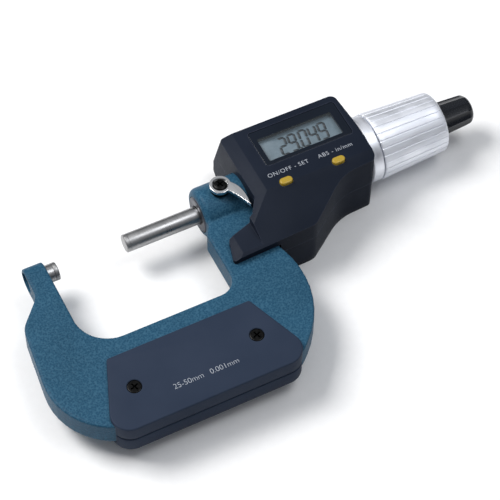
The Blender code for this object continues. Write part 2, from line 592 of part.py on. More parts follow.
def make_ratchet():
    turned("ratchet_screw", [
        (138.5, 0), (138.5, 1.5), (158.2, 1.5), (158.2, 2.5), (159.4, 2.5), (159.4, 0),
    ], BLACK_STEEL, sides=SMALL_ROUND)
    ratchet_teeth("ratchet_disc", 148.6, 149.6, 1.8, 4.2, 1)
    ratchet_teeth("ratchet_clutch", 151.0, 152.0, 1.8, 4.2, -1)
    turned("ratchet_cap", [
        (CAP_LEFT, 4.7), (CAP_LEFT, CAP_R - 0.3), (CAP_LEFT + 0.4, CAP_R), (CAP_RIGHT - 2.4, CAP_END_R + 0.1),
        (CAP_RIGHT - 1.2, CAP_END_R - 0.35), (CAP_RIGHT - 0.35, CAP_END_R - 1.1), (CAP_RIGHT, CAP_END_R - 2.2),
        (CAP_RIGHT, 0),
        (CAP_RIGHT - 2.2, 0), (CAP_RIGHT - 2.2, 3.9), (153.0, 4.6), (153.0, 4.7),
    ], BLACK_ABS, sides=CAP_FACETS * 3, radius_at=faceted)
    make_spring("ratchet_spring", 152.5, 157.7, 2.6, 0.28, 4.5)


def make_spring(name, left, right, radius, wire, turns):
    """A coil of round wire about the spindle's axis."""
    curve = bpy.data.curves.new(name, "CURVE")
    curve.dimensions = "3D"
    curve.bevel_depth = wire * MM
    curve.bevel_resolution = 0
    curve.use_fill_caps = True
    spline = curve.splines.new("POLY")
    count = int(turns * 10)
    spline.points.add(count)
    for i, point in enumerate(spline.points):
        angle = 2 * math.pi * turns * i / count
        x = left + wire + (right - left - 2 * wire) * i / count
        point.co = (x * MM, radius * MM * math.cos(angle), radius * MM * math.sin(angle), 1.0)
    curve.materials.append(material(STEEL))
    obj = bpy.data.objects.new(name, curve)
    bpy.context.scene.collection.objects.link(obj)


def place_moving_pieces():
    """Parent the moving pieces to empties that sit on their joints' axes."""
    groups = {
        "spindle_axis": (RANGE_MIN, 0.0, 0.0, (
            "spindle", "spindle_tip", "thimble_tube", "thimble_collar", "thimble_grip", "ratchet_disc",
            "ratchet_screw")),
        "rotor_axis": (80.0, 0.0, 0.0, ("rotor_disc", "rotor_key")),
        "ratchet_axis": (CAP_LEFT, 0.0, 0.0, ("ratchet_cap", "ratchet_clutch", "ratchet_spring")),
        "lock_axis": (LOCK_X, 0.0, LOCK_TOP, ("lock_lever", "lock_screw", "lock_stem")),
    }
    for name, (x, y, z, members) in groups.items():
        empty = bpy.data.objects.new(name, None)
        empty.location = Vector((x, y, z)) * MM
        bpy.context.scene.collection.objects.link(empty)
        for member in members:
            piece = bpy.data.objects[member]
            piece.parent = empty
            piece.matrix_parent_inverse = Matrix.Translation(-empty.location)


def main():
    for obj in list(bpy.data.objects):
        bpy.data.objects.remove(obj, do_unlink=True)
    make_frame()
    make_anvil()
    make_bush()
    make_grips()
    make_lock()
    make_head()
    make_display()
    make_battery()
    make_encoder()
    make_spindle()
    make_barrel()
    make_thimble()
    make_ratchet()
    place_moving_pieces()


main()
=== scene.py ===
"""Looks of the outside micrometer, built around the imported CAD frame.

Lengths are in millimetres in the part's frame and become metres through MM. +X runs along the
spindle, and +Z is the display side. Sizes that the CAD part fixes are read from it with span(), and
the others repeat its driving dimensions.
"""

import math

import bmesh
import bpy
from mathutils import Matrix, Vector


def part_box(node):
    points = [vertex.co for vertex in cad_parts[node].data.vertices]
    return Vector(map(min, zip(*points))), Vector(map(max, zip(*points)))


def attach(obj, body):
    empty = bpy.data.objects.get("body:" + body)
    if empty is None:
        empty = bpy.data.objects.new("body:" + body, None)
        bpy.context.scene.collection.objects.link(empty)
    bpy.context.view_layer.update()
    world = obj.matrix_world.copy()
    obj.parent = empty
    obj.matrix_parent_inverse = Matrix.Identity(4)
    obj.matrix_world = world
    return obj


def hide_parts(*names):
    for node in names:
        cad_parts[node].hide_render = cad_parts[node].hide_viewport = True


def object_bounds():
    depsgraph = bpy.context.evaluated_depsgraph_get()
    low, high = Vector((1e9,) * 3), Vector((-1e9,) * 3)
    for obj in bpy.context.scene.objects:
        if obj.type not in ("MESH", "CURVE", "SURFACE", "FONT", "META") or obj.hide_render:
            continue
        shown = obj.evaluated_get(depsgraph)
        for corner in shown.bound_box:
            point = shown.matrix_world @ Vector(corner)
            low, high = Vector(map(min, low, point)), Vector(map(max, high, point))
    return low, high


MM = 0.001
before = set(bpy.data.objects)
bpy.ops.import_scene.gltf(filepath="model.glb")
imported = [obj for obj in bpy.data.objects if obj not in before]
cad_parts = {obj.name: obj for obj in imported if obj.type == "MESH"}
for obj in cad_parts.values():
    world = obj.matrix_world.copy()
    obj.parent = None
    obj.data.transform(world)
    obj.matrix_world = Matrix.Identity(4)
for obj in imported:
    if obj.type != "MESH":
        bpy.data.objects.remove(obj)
cad_low, cad_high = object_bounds()


def span(node, axis):
    """Lowest and highest coordinate (mm) of a CAD node along axis 0, 1 or 2."""
    low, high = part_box(node)
    return low[axis] / MM, high[axis] / MM


# ---------------------------------------------------------------- dimensions (mm)
GAP = 0.3
FRAME_HALF = 4.8
THROAT_LEFT, THROAT_RIGHT, THROAT_BOTTOM = -4.0, 50.8, -36.4
ARM_RIGHT, BOW_BOTTOM = 71.6, -69.5
BOSS_LEFT, BOSS_RIGHT, BOSS_R = 53.2, 76.5, 9.2
YOKE_LEFT, YOKE_RIGHT, YOKE_R = 84.0, 91.0, 8.6
YOKE_TOP, YOKE_BOTTOM = -12.4, -17.5
ARM_END_R = 4.7
ROD_R = span("spindle_tip", 2)[1]
BUSH_R = span("spindle_bush", 2)[1]

GRIP_FACE = span("front_grip", 2)[1]
GRIP_TOP, GRIP_BOTTOM = -43.4, -71.75
GRIP_TOP_X, GRIP_BOTTOM_X = (-0.9, 51.3), (-12.0, 62.4)
GRIP_SCREWS = (("left", 3.0, -57.0), ("right", 47.5, -56.8))
GRIP_SCREW_R = 2.4

HEAD_BACK, HEAD_FRONT = span("housing_rear", 2)[0], span("housing_front", 2)[1]
HEAD_LEFT, HEAD_RIGHT, HEAD_TOP = 69.9, 115.3, 23.0
HEAD_MIDDLE = (HEAD_LEFT + HEAD_RIGHT) / 2
HEAD_CREASE_Y, HEAD_CREASE_SLOPE = -10.8, 0.45
HEAD_TOP_SLOPE_Y, HEAD_TOP_SLOPE = 16.5, 0.324
CHAMFER_X, CHAMFER_SLOPE = 74.3, 0.42
FOOT_HEIGHT = 8.0
HEAD_SCREWS = ((76.5, 17.4), (109.5, 17.4), (78.0, -23.2), (110.5, -10.8))
WALL, FACE_WALL, BACK_CHAMFER = 2.0, 1.8, 3.0
SEAM = 0.06                    # half the gap between the front and rear mouldings

LENS_X, LENS_Y = span("display_lens", 0), span("display_lens", 1)
WINDOW_X, WINDOW_Y = (81.0, 109.7), (-0.1, 10.2)
BUTTON_Y, BUTTON_LENGTH, BUTTON_WIDTH = -10.3, 4.8, 2.7
LABEL_Y, LABEL_SIZE = -5.9, 2.35
LABELS = (("label_on_off_set", "ON/OFF - SET", 85.1), ("label_abs_unit", "ABS - in/mm", 103.4))
BUTTONS = (("button_on_off_set", "left_button", 82.0), ("button_abs_unit", "right_button", 102.4))

SLEEVE_R = 8.3
COLLAR_LEFT, COLLAR_RIGHT = span("thimble_collar", 0)
COLLAR_R = 12.2
GRIP_LEFT, THIMBLE_RIGHT = span("thimble_grip", 0)
FLUTE_COUNT = 28
CAP_LEFT, CAP_RIGHT = span("ratchet_cap", 0)
CAP_R, CAP_END_R, CAP_DOME = 6.3, 5.6, 3.0
CAP_FLUTE_END = CAP_RIGHT - 0.6

LOCK_X, LOCK_TOP = 61.8, 12.7
LEVER_R, LEVER_SCREW_R = 3.75, 2.5
BATTERY_X, BATTERY_Y, COVER_R = 100.0, 13.9, 6.7


# ---------------------------------------------------------------- materials
def wire(tree, source, output, target, socket):
    tree.links.new(source.outputs[output], target.inputs[socket])


def node(tree, kind, **values):
    """A shader node; values name its properties, or its input sockets with _ for spaces."""
    made = tree.nodes.new(f"ShaderNode{kind}")
    for key, value in values.items():
        if hasattr(made, key):
            setattr(made, key, value)
        else:
            made.inputs[key.replace("_", " ")].default_value = value
    return made


def new_look(name, metallic=0.0, coat=0.0, specular=0.5):
    made = bpy.data.materials.new(name)
    made.use_nodes = True
    tree = made.node_tree
    shader = tree.nodes["Principled BSDF"]
    shader.inputs["Metallic"].default_value = metallic
    shader.inputs["Coat Weight"].default_value = coat
    shader.inputs["Coat Roughness"].default_value = 0.1
    shader.inputs["Specular IOR Level"].default_value = specular
    return made, tree, shader


def place(tree, stretch=(1.0, 1.0, 1.0)):
    """Object coordinates stretched along X, Y and Z, for grain that runs one way."""
    where = node(tree, "TexCoord")
    mapping = node(tree, "Mapping")
    mapping.inputs["Scale"].default_value = stretch
    wire(tree, where, "Object", mapping, "Vector")
    return mapping


def noise(tree, where, per_metre, detail=3.0, roughness=0.5):
    made = node(tree, "TexNoise", Scale=per_metre, Detail=detail, Roughness=roughness)
    wire(tree, where, "Vector", made, "Vector")
    return made


def ramp(tree, source, output, stops):
    """A colour ramp of (position, colour) stops."""
    made = node(tree, "ValToRGB")
    elements = made.color_ramp.elements
    while len(elements) < len(stops):
        elements.new(0.5)
    for element, (position, colour) in zip(elements, stops):
        element.position = position
        element.color = (*colour, 1.0) if len(colour) == 3 else colour
    wire(tree, source, output, made, "Fac")
    return made


def shade(tree, shader, socket, source, output, stops):
    """Drives a shader's input from another node's output, through a colour ramp."""
    wire(tree, ramp(tree, source, output, stops), "Color", shader, socket)


def grey(value):
    return (value, value, value)


def painted_edge_highlight(tree, radius, low, high):
    """Mask for the painted edge highlights: 0 on flat faces and 1 on the rounded edges, from how far the
    bevelled normal leans.
    """
    bevel = node(tree, "Bevel", samples=4, Radius=radius * MM)
    shape = node(tree, "NewGeometry")
    dot = node(tree, "VectorMath", operation="DOT_PRODUCT")
    wire(tree, bevel, "Normal", dot, 0)
    wire(tree, shape, "Normal", dot, 1)
    lean = node(tree, "Math", operation="SUBTRACT")
    lean.inputs[0].default_value = 1.0
    wire(tree, dot, "Value", lean, 1)
    edge = node(tree, "MapRange", From_Min=low, From_Max=high)
    wire(tree, lean, "Value", edge, "Value")
    return edge


def mix(tree, factor, output, first, second):
    """first where the factor is 0 and second where it is 1; each is a colour or a (node, output) pair."""
    made = node(tree, "Mix", data_type="RGBA")
    wire(tree, factor, output, made, 0)
    for socket, value in ((6, first), (7, second)):
        if isinstance(value[0], bpy.types.Node):
            wire(tree, value[0], value[1], made, socket)
        else:
            made.inputs[socket].default_value = (*value, 1.0)
    return made


def bump(tree, shader, height, output, depth, strength):
    """Raises the surface by up to a depth (mm) where the height is 1."""
    made = node(tree, "Bump", Strength=strength, Distance=depth * MM)
    wire(tree, height, output, made, "Height")
    wire(tree, made, "Normal", shader, "Normal")


def hammer_enamel():
    """Blue hammer-tone enamel: small dimples with lighter rims, and a painted highlight on the rounded
    edges.
    """
    made, tree, shader = new_look("hammer_enamel", specular=0.09)
    where = place(tree)
    cells = node(tree, "TexVoronoi", feature="SMOOTH_F1", Scale=1700.0, Smoothness=0.7)
    warp = noise(tree, where, 1400.0, 2.0)
    bend = node(tree, "VectorMath", operation="MULTIPLY_ADD")
    wire(tree, warp, "Color", bend, 0)
    bend.inputs[1].default_value = grey(0.0007)
    wire(tree, where, "Vector", bend, 2)
    wire(tree, bend, "Vector", cells, "Vector")
    fine = noise(tree, where, 2600.0, 3.0, 0.6)
    height = node(tree, "Math", operation="MULTIPLY_ADD")
    wire(tree, fine, "Fac", height, 0)
    height.inputs[1].default_value = 0.35
    wire(tree, cells, "Distance", height, 2)
    tone = ramp(tree, height, "Value", [
        (0.25, (0.011, 0.052, 0.098)), (0.55, (0.018, 0.073, 0.13)), (0.9, (0.034, 0.106, 0.172)),
    ])
    patches = noise(tree, where, 60.0, 2.0)
    cloud = ramp(tree, patches, "Fac", [(0.3, grey(0.86)), (0.7, grey(1.0))])
    toned = node(tree, "Mix", data_type="RGBA", blend_type="MULTIPLY")
    toned.inputs[0].default_value = 1.0
    wire(tree, tone, "Color", toned, 6)
    wire(tree, cloud, "Color", toned, 7)
    # Painted highlight: the rounded edges are mixed halfway to a lighter blue.
    edge = painted_edge_highlight(tree, 0.7, 0.03, 0.4)
    faded = node(tree, "Math", operation="MULTIPLY")
    faded.inputs[1].default_value = 0.5
    wire(tree, edge, "Result", faded, 0)
    coloured = mix(tree, faded, "Value", (toned, 2), (0.08, 0.2, 0.28))
    wire(tree, coloured, 2, shader, "Base Color")
    shade(tree, shader, "Roughness", height, "Value", [(0.2, grey(0.3)), (0.9, grey(0.48))])
    bump(tree, shader, height, "Value", 0.1, 0.7)
    return made


def moulded(name, dark, light, roughness, grain=3200.0, depth=0.03, edge_highlight_colour=None, edge_radius=0.5,
            specular=0.22):
    """Moulded plastic with a spark-eroded grain, faint flow marks and a painted highlight on its rounded
    edges.
    """
    made, tree, shader = new_look(name, specular=specular)
    where = place(tree)
    texture = noise(tree, where, grain, 2.0, 0.6)
    flow = noise(tree, where, 45.0, 3.0)
    tone = ramp(tree, flow, "Fac", [(0.3, dark), (0.7, light)])
    # Painted highlight: the rounded edges take a lighter colour.
    edge = painted_edge_highlight(tree, edge_radius, 0.03, 0.45)
    coloured = mix(tree, edge, "Result", (tone, "Color"), edge_highlight_colour or light)
    wire(tree, coloured, 2, shader, "Base Color")
    shade(tree, shader, "Roughness", texture, "Fac",
          [(0.3, grey(roughness - 0.08)), (0.7, grey(roughness + 0.08))])
    bump(tree, shader, texture, "Fac", depth, 0.6)
    return made


def turned_metal(name, dark, light, roughness, stretch, lines=900.0, depth=0.004):
    """Machined metal whose fine lines run across the stretched axis, with faint smudges."""
    made, tree, shader = new_look(name, metallic=1.0)
    grain = noise(tree, place(tree, stretch), lines, 4.0, 0.65)
    smudge = noise(tree, place(tree), 120.0, 3.0)
    shade(tree, shader, "Base Color", grain, "Fac", [(0.25, dark), (0.75, light)])
    both = node(tree, "Math", operation="MULTIPLY_ADD")
    wire(tree, grain, "Fac", both, 0)
    both.inputs[1].default_value = 0.5
    wire(tree, smudge, "Fac", both, 2)
    shade(tree, shader, "Roughness", both, "Value",
          [(0.45, grey(roughness * 0.75)), (0.95, grey(roughness * 1.35))])
    bump(tree, shader, grain, "Fac", depth, 0.5)
    return made


def liquid_crystal():
    """Reflective display: grey-green, with a soft mottle in the reflector behind the segments."""
    made, tree, shader = new_look("liquid_crystal")
    where = place(tree)
    cloud = noise(tree, where, 260.0, 2.0)
    fine = noise(tree, where, 5200.0, 2.0)
    shade(tree, shader, "Base Color", cloud, "Fac",
          [(0.3, (0.095, 0.14, 0.172)), (0.7, (0.14, 0.195, 0.235))])
    shade(tree, shader, "Roughness", fine, "Fac", [(0.3, grey(0.32)), (0.7, grey(0.48))])
    bump(tree, shader, fine, "Fac", 0.004, 0.4)
    return made


def printed(name, colour):
    """Pad-printed ink, a little uneven where it covers the grain beneath; the same look also paints the
    shadow under the display digits.
    """
    made, tree, shader = new_look(name)
    where = place(tree)
    cover = noise(tree, where, 2400.0, 3.0)
    faded = tuple(c * 0.82 for c in colour)
    shade(tree, shader, "Base Color", cover, "Fac", [(0.35, faded), (0.6, colour)])
    shade(tree, shader, "Roughness", cover, "Fac", [(0.3, grey(0.6)), (0.7, grey(0.4))])
    return made


def clear_window():
    """Thin clear pane over the display: mostly open to light, with a polished surface."""
    made, tree, shader = new_look("clear_window")
    smear = noise(tree, place(tree), 180.0, 3.0)
    shade(tree, shader, "Roughness", smear, "Fac", [(0.35, grey(0.03)), (0.75, grey(0.09))])
    shader.inputs["Base Color"].default_value = (0.3, 0.34, 0.36, 1.0)
    shader.inputs["Alpha"].default_value = 0.05
    return made


def board_look():
    """Green solder mask with faint copper traces under it."""
    made, tree, shader = new_look("solder_mask", coat=0.4)
    where = place(tree)
    traces = node(tree, "TexBrick", Scale=420.0, offset=0.35)
    traces.inputs["Color1"].default_value = (0.012, 0.11, 0.045, 1.0)
    traces.inputs["Color2"].default_value = (0.016, 0.135, 0.055, 1.0)
    traces.inputs["Mortar"].default_value = (0.04, 0.23, 0.09, 1.0)
    wire(tree, where, "Vector", traces, "Vector")
    wire(tree, traces, "Color", shader, "Base Color")
    fine = noise(tree, where, 1500.0)
    shade(tree, shader, "Roughness", fine, "Fac", [(0.3, grey(0.3)), (0.7, grey(0.45))])
    return made


def make_looks():
    """All the materials by the short names that the pieces use."""
    ring_grain, along_grain, even_grain = (1.0, 0.03, 0.03), (0.02, 1.0, 1.0), (1.0, 1.0, 1.0)
    return {
        "enamel": hammer_enamel(),
        # Each edge colour below is a painted highlight on that plastic's rounded edges.
        "abs": moulded("moulded_abs", (0.0095, 0.0132, 0.0225), (0.0135, 0.018, 0.0295), 0.42,
                       edge_highlight_colour=(0.06, 0.07, 0.1), specular=0.045),
        "cap": moulded("cap_plastic", (0.005, 0.0065, 0.01), (0.0075, 0.009, 0.013), 0.24, depth=0.008,
                       edge_highlight_colour=(0.02, 0.02, 0.024), specular=0.4),
        "grip": moulded("grip_plastic", (0.021, 0.031, 0.054), (0.027, 0.038, 0.064), 0.45,
                        edge_highlight_colour=(0.055, 0.07, 0.105), specular=0.05),
        "steel": turned_metal("ground_steel", grey(0.34), grey(0.43), 0.32, ring_grain, 2200.0, 0.0015),
        "face": turned_metal("lapped_face", grey(0.34), grey(0.4), 0.34, even_grain, 3000.0, 0.001),
        "bush": turned_metal("bush_steel", (0.075, 0.08, 0.095), (0.12, 0.125, 0.145), 0.4,
                             ring_grain, 1500.0),
        "aluminium": turned_metal("satin_aluminium", (0.78, 0.8, 0.85), (0.9, 0.92, 0.97), 0.52,
                                  along_grain, 2600.0, 0.006),
        "collar": turned_metal("turned_aluminium", (0.76, 0.78, 0.83), (0.88, 0.9, 0.95), 0.45,
                               ring_grain, 2600.0, 0.004),
        "chrome": turned_metal("chrome_plate", grey(0.8), grey(0.88), 0.16, even_grain, 400.0, 0.002),
        "black_steel": turned_metal("blackened_steel", grey(0.007), grey(0.018), 0.3,
                                    even_grain, 1800.0, 0.006),
        "brass": turned_metal("turned_brass", (0.62, 0.42, 0.14), (0.76, 0.55, 0.22), 0.25, ring_grain),
        "yellow": moulded("yellow_key", (0.37, 0.245, 0.022), (0.43, 0.3, 0.032), 0.3, depth=0.008,
                          edge_highlight_colour=(0.62, 0.47, 0.12), edge_radius=0.35, specular=0.5),
        "lens": moulded("black_glass", (0.003, 0.006, 0.012), (0.005, 0.009, 0.017), 0.12, grain=500.0,
                        depth=0.001, edge_highlight_colour=(0.02, 0.024, 0.034), edge_radius=0.3, specular=0.25),
        "window": clear_window(),
        "crystal": liquid_crystal(),
        "segment": printed("display_segment", (0.01, 0.015, 0.02)),
        # Painted shadow: a darker tone for the copy of the digits laid under them.
        "painted_digit_shadow": printed("segment_shadow", (0.055, 0.083, 0.105)),
        "ink": printed("white_ink", (0.42, 0.45, 0.5)),
        "board": board_look(),
        "rubber": moulded("rubber", grey(0.012), grey(0.02), 0.8, grain=2000.0, depth=0.02),
    }


# ---------------------------------------------------------------- outlines and solids
def signed_area(points):
    pairs = zip(points, points[1:] + points[:1])
    return sum(a[0] * b[1] - b[0] * a[1] for a, b in pairs) / 2


def offset_corners(corners, distance):
    """The outline of (x, y, radius) corners moved outwards by a distance, or inwards if negative."""
    turn = 1.0 if signed_area([c[:2] for c in corners]) > 0 else -1.0
    moved = []
    for before, here, after in zip(corners[-1:] + corners[:-1], corners, corners[1:] + corners[:1]):
        into = (Vector(here[:2]) - Vector(before[:2])).normalized()
        out = (Vector(after[:2]) - Vector(here[:2])).normalized()
        normal_in = Vector((into.y, -into.x)) * turn
        normal_out = Vector((out.y, -out.x)) * turn
        shift = (normal_in + normal_out) * (distance / (1.0 + normal_in.dot(normal_out)))
        bulges = turn * (into.x * out.y - into.y * out.x) > 0
        radius = here[2] + (distance if bulges else -distance) if here[2] else 0.0
        moved.append((here[0] + shift.x, here[1] + shift.y, max(radius, 0.0)))
    return moved


def rounded(corners, step=math.radians(7.5)):
    """The points of an outline of (x, y, radius) corners, each corner an arc of its radius."""
    points = []
    for before, here, after in zip(corners[-1:] + corners[:-1], corners, corners[1:] + corners[:1]):
        corner = Vector(here[:2])
        if here[2] <= 0:
            points.append(tuple(corner))
            continue
        to_before = (Vector(before[:2]) - corner).normalized()
        to_after = (Vector(after[:2]) - corner).normalized()
        opening = to_before.angle(to_after)
        reach = here[2] / math.tan(opening / 2)
        middle = corner + (to_before + to_after).normalized() * (here[2] / math.sin(opening / 2))
        start = corner + to_before * reach - middle
        sweep = (math.pi - opening) * (1 if to_before.cross(to_after) < 0 else -1)
        count = max(2, math.ceil(abs(sweep) / step))
        for i in range(count + 1):
            spoke = Matrix.Rotation(sweep * i / count, 2) @ start
            points.append(tuple(middle + spoke))
    return points


def circle(x, y, radius, sides=48):
    return [
        (x + radius * math.cos(2 * math.pi * i / sides), y + radius * math.sin(2 * math.pi * i / sides))
        for i in range(sides)
    ]


def rectangle(x, y, radius=0.0):
    """A rectangle over an interval of X and one of Y, with rounded corners."""
    corners = [(x[0], y[0]), (x[1], y[0]), (x[1], y[1]), (x[0], y[1])]
    return rounded([(*corner, radius) for corner in corners], math.radians(15))


def widened(interval, margin):
    """An interval with a margin added at both ends, or taken off them if it is negative."""
    return interval[0] - margin, interval[1] + margin


def pill(x, y, length, width):
    reach, half = length / 2, width / 2
    return rectangle((x - reach, x + reach), (y - half, y + half), half * 0.98)


def linked(name, data):
    """A new object in the scene around a mesh, curve, camera or light."""
    obj = bpy.data.objects.new(name, data)
    bpy.context.scene.collection.objects.link(obj)
    return obj


def mesh_object(name, data, look=None):
    """A piece from bmesh data. A piece without a look is a cutter, or gets its material later."""
    bmesh.ops.recalc_face_normals(data, faces=data.faces)
    mesh = bpy.data.meshes.new(name)
    data.to_mesh(mesh)
    data.free()
    obj = linked(name, mesh)
    if look:
        mesh.materials.append(LOOKS[look])
        smooth(obj)
    return obj


def smooth(obj, sharp=30):
    obj.data.shade_smooth()
    obj.data.set_sharp_from_angle(angle=math.radians(sharp))


def prism(name, points, low, high, look=None):
    """An XY outline (mm) extruded from one height to another."""
    data = bmesh.new()
    face = data.faces.new([data.verts.new((x * MM, y * MM, low * MM)) for x, y in points])
    top = bmesh.ops.extrude_face_region(data, geom=[face])["geom"]
    for vert in (v for v in top if isinstance(v, bmesh.types.BMVert)):
        vert.co.z = high * MM
    return mesh_object(name, data, look)


def turned(name, profile, look=None, sides=128, centre=None, radius_at=None):
    """A closed (axial, radius) profile in mm turned about X, or about the Z line through centre.

    A cutter (no look) is turned by a third of a side, so its facets don't meet the piece's.
    """
    data = bmesh.new()
    rings = []
    first = 0.0 if look else 1 / 3
    for along, radius in profile:
        if radius == 0:
            rings.append([data.verts.new((along * MM, 0.0, 0.0))] * sides)
            continue
        ring = []
        for i in range(sides):
            angle = 2 * math.pi * (i + first) / sides
            reach = (radius_at(along, radius, angle) if radius_at else radius) * MM
            ring.append(data.verts.new((along * MM, reach * math.cos(angle), reach * math.sin(angle))))
        rings.append(ring)
    closed = profile[0][1] != 0
    pairs = zip(rings, rings[1:] + rings[:1]) if closed else zip(rings, rings[1:])
    for a, b in pairs:
        for i in range(sides):
            j = (i + 1) % sides
            corners = list(dict.fromkeys((a[i], a[j], b[j], b[i])))
            if len(corners) > 2:
                data.faces.new(corners)
    if centre:
        bmesh.ops.rotate(data, verts=data.verts, matrix=Matrix.Rotation(-math.pi / 2, 3, "Y"))
        bmesh.ops.translate(data, verts=data.verts, vec=(centre[0] * MM, centre[1] * MM, 0.0))
    return mesh_object(name, data, look)


def bezier(start, middle, end, t):
    return start * (1 - t) ** 2 + middle * (2 * t * (1 - t)) + end * t ** 2


def softened(profile, radius=0.15, steps=3):
    """A turned profile with each of its corners off the axis rounded by a small radius (mm)."""
    points = []
    last = len(profile) - 1
    for i, (along, reach) in enumerate(profile):
        open_end = profile[0][1] == 0 and i in (0, last)
        if open_end or reach == 0:
            points.append((along, reach))
            continue
        here = Vector((along, reach))
        before, after = Vector(profile[i - 1]), Vector(profile[(i + 1) % (last + 1)])
        cut = min(radius, (before - here).length / 2.2, (after - here).length / 2.2)
        start, end = here + (before - here).normalized() * cut, here + (after - here).normalized() * cut
        points += [tuple(bezier(start, here, end, k / steps)) for k in range(steps + 1)]
    return points


def combine(target, tool, operation="DIFFERENCE"):
    """Cuts a tool from a piece, or joins it on, for good; the tool is removed."""
    step = target.modifiers.new("combine", "BOOLEAN")
    step.operation = operation
    step.solver = "EXACT"
    step.object = tool
    bake(target)
    bpy.data.objects.remove(tool)


def bake(obj):
    """Replaces a piece's mesh with the result of its modifiers."""
    graph = bpy.context.evaluated_depsgraph_get()
    graph.update()
    mesh = bpy.data.meshes.new_from_object(obj.evaluated_get(graph))
    old = obj.data
    obj.modifiers.clear()
    obj.data = mesh
    bpy.data.meshes.remove(old)


def round_edges(obj, width, angle=28, segments=3):
    """Rounds the edges that are sharper than an angle, for good."""
    step = obj.modifiers.new("round", "BEVEL")
    step.width = width * MM
    step.segments = segments
    step.limit_method = "ANGLE"
    step.angle_limit = math.radians(angle)
    bake(obj)
    smooth(obj, 40)
    return obj


def cut_plane(obj, point, normal):
    """Cuts a closed piece with a plane and drops what lies on the normal's side."""
    data = bmesh.new()
    data.from_mesh(obj.data)
    everything = data.verts[:] + data.edges[:] + data.faces[:]
    found = bmesh.ops.bisect_plane(data, geom=everything, dist=1e-7, plane_co=Vector(point) * MM,
                                   plane_no=Vector(normal).normalized(), clear_outer=True)
    rim = [e for e in found["geom_cut"] if isinstance(e, bmesh.types.BMEdge)]
    bmesh.ops.contextual_create(data, geom=rim)
    bmesh.ops.recalc_face_normals(data, faces=data.faces)
    data.to_mesh(obj.data)
    data.free()


def finish_piece(obj, body, slot, *nodes):
    """Puts a finished piece on its body, in place of the CAD nodes it stands for."""
    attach(obj, body)
    if nodes:
        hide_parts(*nodes)


def cut_cross(screw, x, y, top, depth, reach, width, side=1):
    """Cuts a Phillips recess: two tapered blades, one after the other, crossing at the screw's middle."""
    for turn in (0.0, math.pi / 2):
        data = bmesh.new()
        spin = Matrix.Rotation(turn + math.radians(20), 2)
        levels = []
        for z, arm, half in ((0.3, reach, width / 2), (0.0, reach * 0.97, width / 2),
                             (-depth, reach * 0.3, width * 0.3)):
            corners = ((-arm, -half), (arm, -half), (arm, half), (-arm, half))
            levels.append([
                data.verts.new(((x + p.x) * MM, (y + p.y) * MM, (top + side * z) * MM))
                for p in (spin @ Vector(c) for c in corners)
            ])
        data.faces.new(levels[0])
        data.faces.new(levels[-1])
        for a, b in zip(levels, levels[1:]):
            for i in range(4):
                j = (i + 1) % 4
                data.faces.new((a[i], a[j], b[j], b[i]))
        combine(screw, mesh_object("blade", data))
    smooth(screw)


def lettering(name, text, x, y, z, size, body, slot, spacing, thin):
    """Flat printed words that read from the display side; thin narrows their strokes (mm)."""
    words = bpy.data.curves.new(name, "FONT")
    words.body = text
    words.size = size * MM
    words.extrude = 0.012 * MM
    words.offset = -thin * MM
    words.align_x = "CENTER"
    words.align_y = "CENTER"
    words.space_character = spacing
    obj = linked(name, words)
    graph = bpy.context.evaluated_depsgraph_get()
    mesh = bpy.data.meshes.new_from_object(obj.evaluated_get(graph))
    mesh.transform(Matrix.Translation(Vector((x, y, z)) * MM))
    bpy.data.objects.remove(obj)
    mesh.materials.clear()
    mesh.materials.append(LOOKS["ink"])
    finish_piece(linked(name, mesh), body, slot)


# ---------------------------------------------------------------- frame casting
def frame_corners():
    """The casting's outline in the XY plane, from the anvil's arm round the throat to the head."""
    return [
        (THROAT_LEFT, 0.0, 0.0), (THROAT_LEFT, THROAT_BOTTOM, 12.5), (THROAT_RIGHT, THROAT_BOTTOM, 6.5),
        (THROAT_RIGHT, -12.2, 1.2), (BOSS_LEFT, -8.6, 0.6), (BOSS_LEFT, 0.0, 0.0),
        (BOSS_RIGHT, 0.0, 0.0), (BOSS_RIGHT, YOKE_TOP, 0.0), (YOKE_LEFT, YOKE_TOP, 0.0),
        (YOKE_LEFT, 0.0, 0.0), (YOKE_RIGHT, 0.0, 0.0), (YOKE_RIGHT, YOKE_BOTTOM, 2.0),
        (68.0, YOKE_BOTTOM, 1.5), (78.6, -50.4, 34.3), (57.7, BOW_BOTTOM, 9.0),
        (-26.0, BOW_BOTTOM, 24.9), (-20.4, -19.6, 8.0), (-11.5, -9.6, 7.0), (-11.5, 0.0, 0.0),
    ]


def rod(left, right, radius):
    """The profile of a plain cylinder."""
    return [(left, 0), (left, radius), (right, radius), (right, 0)]


